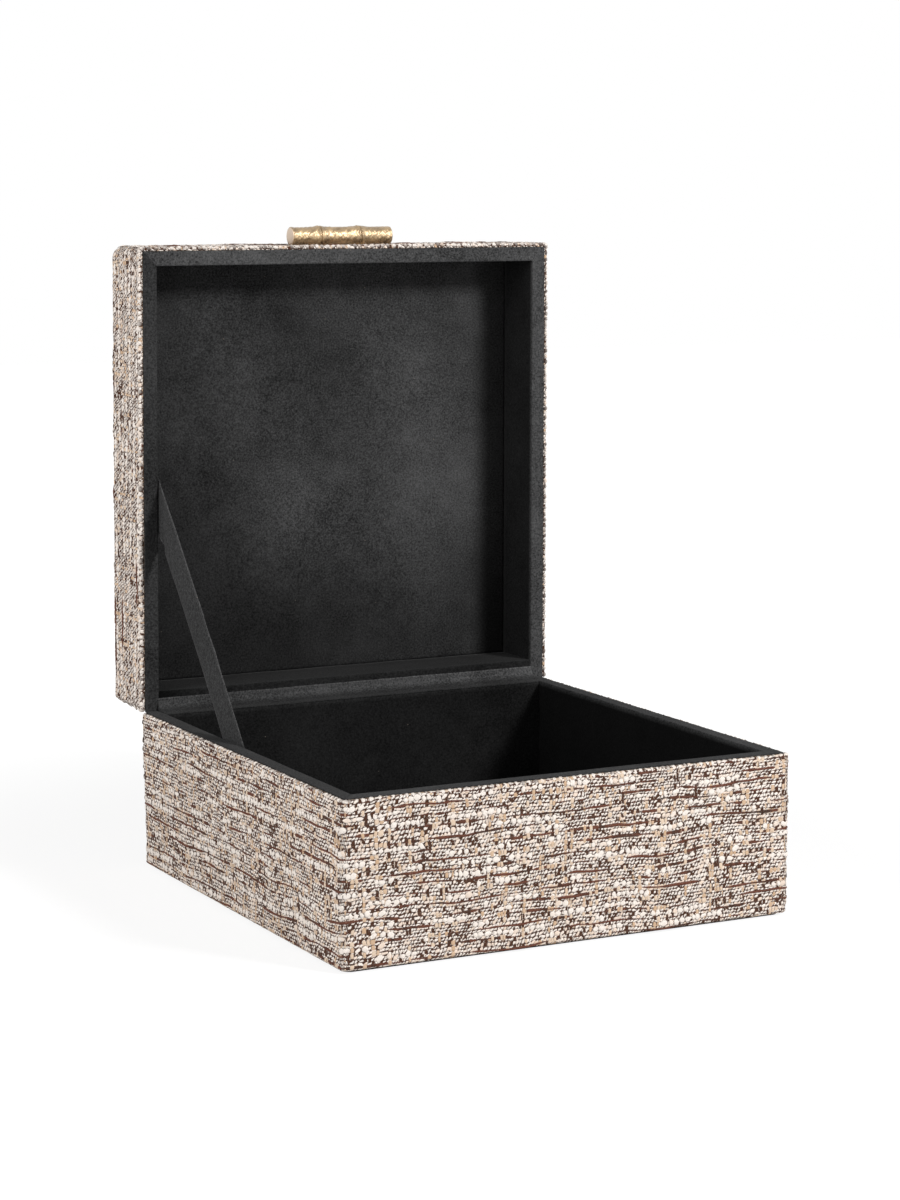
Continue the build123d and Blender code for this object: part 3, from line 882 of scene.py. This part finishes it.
def lining(half, side, reach, return_nap_and_shade, wall_nap_and_shade):
    """One lining piece: a return over the rim, if it isn't the base's back, and the upright below it."""
    face = lining_face
    at_back = side == "back"
    sides = side in ("left", "right")
    sunk = 0.30 if at_back else 0.0
    first = back_return_edge if at_back else return_edge
    over = [(first + 0.02, suede), (first, 0.32 + sunk / 2), (first + 0.12, 0.10 + sunk)]
    over += [(inset, sunk) for inset in np.linspace(first + 0.35, face - bend_radius - 0.2, 8)]
    over += [(face - bend_radius * (1 - math.sin(a)), sunk + bend_radius * (1 - math.cos(a)))
             for a in np.linspace(0, quarter, 6)[1:]]
    down = [(face, w) for w in np.linspace(3.0, reach, max(4, int(reach / 4)))]
    under = [(face - lining_thickness, reach), (face - lining_thickness, suede)]
    if at_back and half is base:
        over, down = [], [(face, suede)] + down
    section = np.array(over + down + under)
    end = room + 0.9 if at_back else half_width - return_corner + return_corner * quarter / 2
    inner_end = end - fine_end
    line = np.concatenate([np.linspace(-inner_end, inner_end, 110), np.linspace(-end, -inner_end, 14),
                           np.linspace(inner_end, end, 14)])
    if sides:
        back_line = np.linspace(-half_width, -half_width + end_corner, 6)
        between = [-120.0, -117.0, -room - 0.51, -room - 0.49]
        line = np.concatenate([line[line > -room], back_line, between])
    line = np.unique(np.round(line, 4))
    insets = section[:, :1] + 0 * line
    depths = section[:, 1:] + 0 * line
    along, out = wall_line(line, insets, sides)
    if at_back:
        along = np.where(insets < face - 1.01, line, along)
    wave = waver(0.16, along / 22.0, depths / 9.0 + insets / 3.0, len(side) + half.depth)
    shown = np.concatenate([np.ones(len(over) + len(down)), np.zeros(len(under))])[:, None]
    lifted = depths < sunk + 0.05
    depths = depths - np.where(lifted, wave + 0.04, 0)
    out = out - np.where(lifted, 0, wave * 1.6 * shown * unit((depths - 1.0) / 4.0))
    if sides:
        past = along < -room - 0.5
        depths = np.where(past, np.minimum(depths, suede), depths)
        if half is lid:
            along = np.where(along < -half_width + end_corner, along - lid_overhang, along)
        else:
            near_end = unit((-along - half_width + 4) / 3)
            depths = depths - 0.22 * np.where(depths < suede - 0.1, near_end, 0)
    flip = {"front": (along, out), "back": (along, -out), "left": (-out, along), "right": (out, along)}
    points = half.place(stacked(*flip[side], depths))
    nap = np.where(section[:, 1] < 1.2, return_nap_and_shade, wall_nap_and_shade)[:, None] + 0 * line
    if at_back and half is lid:
        # The left end of the lid's back is darkened with painted shade, in the deep fold beside the ribbon
        nap = nap * (1 - 0.8 * np.exp(-((line + room) / 17.0) ** 2))
    closed_piece(f"{half.name}_{side}_suede", points, column_tube(*insets.shape), suede_look, "suede",
                 f"{half.name}_lining_{side}", body=half.name, values={"nap": nap})


# The darkness of each lining, on its return and on its wall: partly its nap, partly painted light and shade
# set side by side
base_naps_and_shade = [(0.034, 0.010), (0.016, 0.011), (0.026, 0.010), (0.034, 0.003)]
lid_naps_and_shade = [(0.060, 0.014), (0.016, 0.008), (0.030, 0.016), (0.056, 0.012)]
for half, naps, reach in ((base, base_naps_and_shade, base_floor - 0.2), (lid, lid_naps_and_shade, lid_floor)):
    for side, (return_nap_and_shade, wall_nap_and_shade) in zip(("front", "back", "left", "right"), naps):
        lining(half, side, reach, return_nap_and_shade, wall_nap_and_shade)


# The padded panels. The lid's has painted light and shade in paler and darker patches: how much,
# their middle (x, s), and their spread each way as it stands under the square of the distance
painted_light_and_shade_patches = [(0.60, 66, -12, 1500, 3600), (0.85, -12, -24, 1600, 1600), (0.34, 0, 70, 9000, 5000),
           (-0.30, -10, -95, 5000, 1800), (-0.35, -105, -95, 6000, 6000)]
pad_roll = 1.7


def pad(half, node, crown, nap, glow=0.0):
    """A soft panel with rolled edges, fuller in its middle, and paler and darker in painted patches of
    light and shade.
    """
    low, high = size_of(node)
    reach = high[0] + 0.45
    thickness = high[2] - low[2] if half is base else high[1] - low[1]
    roll = np.array([0.0, 0.05, 0.15, 0.35, 0.65, 1.05, 1.6, 2.6, 4.5, 8.0])
    line = np.concatenate([-reach + roll, np.linspace(-reach + 14, reach - 14, 44), (reach - roll)[::-1]])
    x, s = np.meshgrid(line, line)
    edge = np.minimum(reach - np.abs(x), reach - np.abs(s))
    rise = np.sqrt(1 - (1 - unit(edge / pad_roll)) ** 2)
    full = crown * (1 - (x / reach) ** 4) * (1 - (s / reach) ** 4)
    lumps = waver(0.5, x / 38.0, s / 38.0, 31) * unit(edge / 20.0)
    height = (thickness - crown) * rise + full + lumps
    w = (base_floor if half is base else lid_floor) - height
    # Brushed tone all over, and a painted shadow of the lid's right wall along its right side
    tone = waver(0.4, x / 34.0 + s / 90.0, s / 50.0, 83) - 0.30 - 0.55 * unit((x - 92) / 8)
    for size, middle_x, middle_s, wide, long in painted_light_and_shade_patches:
        tone += size * np.exp(-(x - middle_x) ** 2 / wide - (s - middle_s) ** 2 / long)
    count = len(line)
    index = np.arange(count * count).reshape(count, count)
    border = np.concatenate([index[0, :-1], index[:-1, -1], index[-1, :0:-1], index[:0:-1, 0]])
    faces = grid_faces(count, count) + [border.tolist()]
    piece = closed_piece(f"{node}_suede", half.place(stacked(x, s, w)), faces, suede_look, "suede",
                         node, body=half.name, values={"nap": nap * (1 + glow * tone)})


pad(base, "floor_pad", 0.5, 0.014)
# The lid's pad carries the painted light and shade patches and the painted shadow along its right side
pad(lid, "lid_pad", 0.4, 0.040, glow=0.75)

# The strip of suede over the hinges
strip_overhang = 0.9
strip_top = base_rim + 7.0
strip_thickness = 0.55


def swept_strip():
    """A soft strip that bends up from the base's back rim to the lid's."""
    nearest, furthest = strip_low[1], strip_high[1]
    knots = np.array([(nearest - 0.15, base_rim - 0.25), (nearest + 1.0, base_rim + 0.12),
                      (nearest + 4.5, base_rim + 0.35), (furthest - 2.6, base_rim + 1.6),
                      (lid_rim - 0.35, base_rim + 4.6), (lid_rim - 0.12, strip_top - 0.5),
                      (lid_rim + 0.1, strip_top)])
    # A smooth line through the knots
    steps = np.linspace(0, len(knots) - 1, 40)
    line = stacked(*(np.interp(steps, np.arange(len(knots)), place) for place in knots.T))
    for _ in range(12):
        line[1:-1] += 0.25 * (line[:-2] + line[2:] - 2 * line[1:-1])
    tangent = np.gradient(line, axis=0)
    tangent /= np.linalg.norm(tangent, axis=1)[:, None]
    back = stacked(tangent[:, 1], -tangent[:, 0])
    place = np.linspace(-1, 1, len(line))
    thick = strip_thickness * np.sqrt(np.clip(1 - place ** 16, 0.05, 1))
    loop = np.concatenate([line, (line + back * thick[:, None])[::-1]])
    reach = strip_high[0] + strip_overhang
    middle = np.linspace(1.2 - reach, reach - 1.2, 150)
    x = np.concatenate([[-reach, 1.0 - reach], middle, [reach - 1.0, reach]])
    wave = waver(0.22, x / 13.0, 2, 41)
    # The last millimetre fills the hollow between the two rims
    full = 1.9 * unit(1 - (place - 0.1) ** 2 / 0.45)[:, None] * back
    fill = np.concatenate([0 * full, full[::-1]])[..., None] * (np.abs(x) > reach - 1.1)
    y = loop[:, :1] + wave * 0.5 + fill[:, 0]
    z = loop[:, 1:] + wave + fill[:, 1]
    # Painted light: it is paler where it stands upright and further to the right, with a painted highlight
    # along its top edge
    edge = unit((loop[:, 1] - strip_top + 0.9) / 0.9)
    up = unit((loop[:, 1] - base_rim) / (strip_top - base_rim))
    upright = unit((up - 0.12) / 0.35)
    painted_light_to_right = unit((x + 20.0) / 80.0)
    nap = (0.021 + 0.029 * upright + 0.016 * edge)[:, None] * (1 + 0.40 * painted_light_to_right)
    piece = closed_piece("hinge_strip_suede", stacked(x, y, z), column_tube(*y.shape),
                         suede_look, "suede", "hinge_strip", values={"nap": nap})
    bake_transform(piece)


swept_strip()

# The ribbon stay: how long its slit in each half is, and its tail behind the lining
base_slit, lid_slit = 27.6, 30.6
tail = 12.0
# Where its tuck lies on the way up, and how wide that is
tuck_place, tuck_width = 0.905, 0.022


def ribbon():
    """A flat velvet ribbon, taut between its slits, with a small tuck where it crosses the lid's rim."""
    thickness = 0.8
    depth = 5.0
    low = np.array([ribbon_low[1], base_rim - depth - thickness / 2])
    high = np.array([lid_rim + depth + thickness / 2, ribbon_high[2]])
    # a runs up the ribbon, and b across it
    a = np.concatenate([np.linspace(0, 0.7, 70), np.linspace(0.71, 1, 50)])[:, None]
    b = np.array([0, 0.015, 0.04, 0.10, 0.2, 0.3, 0.4, 0.5, 0.6, 0.7, 0.8, 0.9, 0.96, 0.985, 1])[None, :]
    y = (low[0] + base_slit * b) * (1 - a) + high[0] * a
    z = low[1] * (1 - a) + (high[1] - lid_slit * b) * a
    swell = np.sin(math.pi * a) ** 0.7
    curl = 0.5 * (2 * b - 1) ** 2 * swell
    tuck = np.exp(-((a - tuck_place) / tuck_width) ** 2) * unit((b - 0.35) / 0.65) ** 2
    ripple = waver(0.5, a * 14, b * 1.5, 17) * swell
    middle = -room + 0.3 + thickness / 2 + 0.45 * swell + curl + 1.3 * tuck + ripple
    half_thick = thickness / 2 * np.sqrt(np.clip(1 - (2 * b - 1) ** 10, 0.02, 1)) + 0 * a
    near, far = [stacked(middle + sign * half_thick, y, z) for sign in (-1, 1)]
    rows, columns = y.shape
    points = np.concatenate([near, far[:, ::-1]], 1).reshape(-1, 3)
    faces = row_tube(rows, 2 * columns)
    nap = 0.036 + 0.044 * unit(1 - np.minimum(b, 1 - b) / 0.05) + 0 * a
    nap = np.concatenate([nap, nap[:, ::-1]], 1).ravel()

    # A tail behind each lining, on from the slit
    for row, way in ((0, np.array([0, 0, -1])), (-1, np.array([0, 1, 0]))):
        faces += column_tube(6, columns, first=len(points))
        for side, steps in ((-1, (0, 0.6, 1.0)), (1, (1.0, 0.6, 0))):
            for step in steps:
                line = near[row] + way * step * tail + way * 0.2
                line[:, 0] = ribbon_low[0] + 0.4 + side * 0.36
                points = np.concatenate([points, line])
        nap = np.concatenate([nap, np.full(6 * columns, 0.030)])
    piece = closed_piece("ribbon_velvet", points, faces, ribbon_look, "ribbon", "ribbon_stay",
                         values={"nap": nap})
    start = np.array([low[0] + base_slit / 2, low[1]])
    stop = np.array([high[0], high[1] - lid_slit / 2])
    way = (stop - start) / np.linalg.norm(stop - start)
    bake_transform(piece)


ribbon()


# The felt under the base
def felt():
    """A thin sheet with rounded corners and a soft edge."""
    reach, corner, thickness = foot_high[0], 4.0, foot_high[2]
    turn = np.arange(4)[:, None] * quarter + np.zeros(9)
    angle = turn + np.linspace(0, quarter, 9)
    centre = stacked(np.cos(turn) - np.sin(turn), np.sin(turn) + np.cos(turn)) * (reach - corner)
    outline = (centre + corner * stacked(np.cos(angle), np.sin(angle))).reshape(-1, 2)
    count = len(outline)
    out = outline / np.linalg.norm(outline, axis=1)[:, None]
    levels = [(0.35, 0.0), (0.0, 0.25), (0.0, 0.75), (0.3, 1.0)]
    rings = [np.column_stack([outline - out * inset, np.full(count, thickness * share)])
             for inset, share in levels]
    nap = np.full(len(levels) * count, 0.020)
    piece = closed_piece("foot_felt", rings, row_tube(len(levels), count), felt_look, "felt",
                         "foot_sheet", body="base", values={"nap": nap})


felt()

# The handle's radii, how deep its flat seat lies below its middle, and how far along it the joints lie
waist, end_radius, joint_radius, rounding = 5.0, 5.2, 5.75, 0.6
seat_depth = 4.9
joint_shares = (0.28, 0.68)
# At each joint a raised ridge, a narrow groove and a low ridge: their height, place and width
joint_rings = [(0.30, -0.75, 0.50), (-0.60, 0.1, 0.36), (0.12, 0.95, 0.45)]
# Its ends are rounded off by rings of some share of its size, a little further out
end_rings = [(0.05, 0.10), (0.45, 0.10), (0.82, 0.06)]
bar_sides = 96


def bar():
    """A turned bar with two bamboo joints, dented all over and cut flat where it sits on the cloth."""
    length = handle_high[0] - handle_low[0]
    seat = handle_low[2]
    axis_y = (handle_low[1] + handle_high[1]) / 2
    joints = [(share - 0.5) * length for share in joint_shares]
    stations = [-length / 2, *joints, length / 2]
    radii = [end_radius, joint_radius, joint_radius, end_radius]
    x = np.unique(np.concatenate([np.linspace(-length / 2, length / 2, 240)]
                                 + [joint + np.linspace(-1.6, 1.6, 25) for joint in joints]))
    radius = np.empty_like(x)
    for x0, x1, r0, r1 in zip(stations, stations[1:], radii, radii[1:]):
        inside = (x >= x0) & (x <= x1)
        t = (x[inside] - x0) / (x1 - x0)
        radius[inside] = r0 * (1 - t) + r1 * t - 4 * t * (1 - t) * ((r0 + r1) / 2 - waist)
    for joint in joints:
        for size, place, width in joint_rings:
            radius += size * np.exp(-((x - joint - place) / width) ** 2)
    past = np.clip(np.abs(x) - (length / 2 - rounding), 0, rounding)
    radius -= rounding - np.sqrt(rounding ** 2 - past ** 2)
    angles = angles_of(bar_sides)
    turn = angles[None, :] * 4.8
    column = x[:, None]
    dents = noise_at((column + turn * 0.9) / 0.95, (turn - 0.5 * column) / 2.6, 3)
    streaks = noise_at((column - turn * 0.7) / 0.60, (turn + 0.6 * column) / 2.2, 8)
    rough = 0.27 * (dents - 0.5) + 0.20 * (streaks - 0.5)
    rough *= np.clip((length / 2 - np.abs(column)) / 0.6, 0.15, 1)
    around_bar = radius[:, None] + rough
    y = axis_y + around_bar * np.cos(angles)
    z = np.maximum(seat + seat_depth + around_bar * np.sin(angles), seat)
    body = stacked(column, y, z)

    def disc(end, share, bulge):
        """A smaller ring inside the first or last one, to round off an end."""
        ring = body[end].copy()
        centre = np.array([ring[0, 0], axis_y, seat + seat_depth])
        ring = centre + (ring - centre) * share
        ring[:, 2] = np.maximum(ring[:, 2], seat)
        ring[:, 0] = centre[0] + bulge * np.sign(centre[0])
        return ring

    left, right = [[disc(end, share, bulge) for share, bulge in end_rings] for end in (0, -1)]
    grid = np.concatenate([left, body, right[::-1]])
    rows, columns = grid.shape[:2]
    # The brass is paler where its ends were cut
    cut = np.zeros((rows, columns))
    cut[:4] = cut[-4:] = 1.0
    closed_piece("brass_bar", grid, row_tube(rows, columns), brass, "hammered_brass", "handle_bar",
                 body="lid", values={"cut": cut})


bar()

# The parts whose shape is right as it is
kept = {"fibreboard": fibreboard, "card": card, "hinge_brass": hinge_metal, "steel": steel}
slots = {part["node"]: part["material_slot"] for part in frame["record"]["subparts"]}
for name, node in frame["nodes"].items():
    if not node.hide_render:
        for holder in node.material_slots:
            holder.material = kept[slots[name]].material


# Floor, light and camera. The floor's shadows fade out between two distances from the middle
floor_reach, floor_level = 4000.0, -0.2
fade_from, fade_to = 250.0, 650.0
lamp_aim = (0.0, 0.0, 0.12)


def floor():
    """A pale floor that shows white where no shadow lies."""
    corners = [(-1, -1), (1, -1), (1, 1), (-1, 1)]
    points = [(x * floor_reach, y * floor_reach, floor_level) for x, y in corners]
    piece = new_mesh("floor", points, [[0, 1, 2, 3]])
    look = Finish("pale_floor")
    x, y, _ = look.split(look.place())
    away = (x * x + y * y).root()
    plain = look.first("BsdfDiffuse", (0.82, 0.82, 0.82))
    dim = look.first("BsdfDiffuse", (0.20, 0.20, 0.20))
    glow = look.first("Emission", (1.0, 1.0, 1.0), look.step(away, fade_from, fade_to, 0.86, 1.0))
    shown = look.first("MixShader", look.seen(), plain, look.first("AddShader", dim, glow))
    look.join(look.output.inputs["Surface"], shown)
    look.tree.nodes.remove(look.shader)
    piece.data.materials.append(look.material)


def sky(strength):
    """White where it is seen, and a soft even light."""
    world = bpy.data.worlds.new("studio")
    bpy.context.scene.world = world
    world.use_nodes = True
    nodes = Nodes(world.node_tree)
    back = next(node for node in nodes.tree.nodes if node.type == "BACKGROUND")
    nodes.join(back.inputs["Color"], (1.0, 1.0, 1.0))
    nodes.join(back.inputs["Strength"], nodes.step(nodes.seen(), 0.0, 1.0, strength, 1.0, "LINEAR"))


def turned(turn, tilt):
    """The turn of a level holder about the upright axis, whose back then comes up by a tilt."""
    return Matrix.Rotation(turn, 4, "Z") @ Matrix.Rotation(quarter - tilt, 4, "X")


def softbox(name, bearing, height, distance, size, power):
    """A square lamp aimed at the box. Its bearing runs to the right from straight ahead of the box."""
    lamp = bpy.data.lights.new(name, "AREA")
    lamp.shape = "SQUARE"
    lamp.size = size
    lamp.energy = power
    way = Matrix.Translation(lamp_aim) @ turned(math.radians(bearing), math.radians(height))
    put_in_scene(name, lamp).matrix_world = way @ Matrix.Translation((0.0, 0.0, distance))


floor()
sky(0.20)
softbox("key_lamp", 30, 32, 2.2, 0.4, 39)
softbox("left_lamp", -84, 20, 2.4, 1.4, 34)

# The camera, as fitted to the box's corners in the photograph
camera_place = (-0.71447, -1.35993, 0.37714)
camera_yaw, camera_pitch, camera_roll = 0.48169, 0.07821, 0.00262
camera_lens = 89.37
# The photograph's optical centre lies above its middle
camera_shift = (0.0, -200 / 1200)

camera = bpy.data.cameras.new("camera")
camera.lens = camera_lens
camera.sensor_width = 36.0
camera.shift_x, camera.shift_y = camera_shift
camera.clip_start = 0.05
camera.clip_end = 50.0
viewer = put_in_scene("camera", camera)
roll = Matrix.Rotation(camera_roll, 4, "Z")
viewer.matrix_world = Matrix.Translation(camera_place) @ turned(-camera_yaw, camera_pitch) @ roll
bpy.context.scene.camera = viewer
bpy.context.scene.view_settings.view_transform = "Standard"
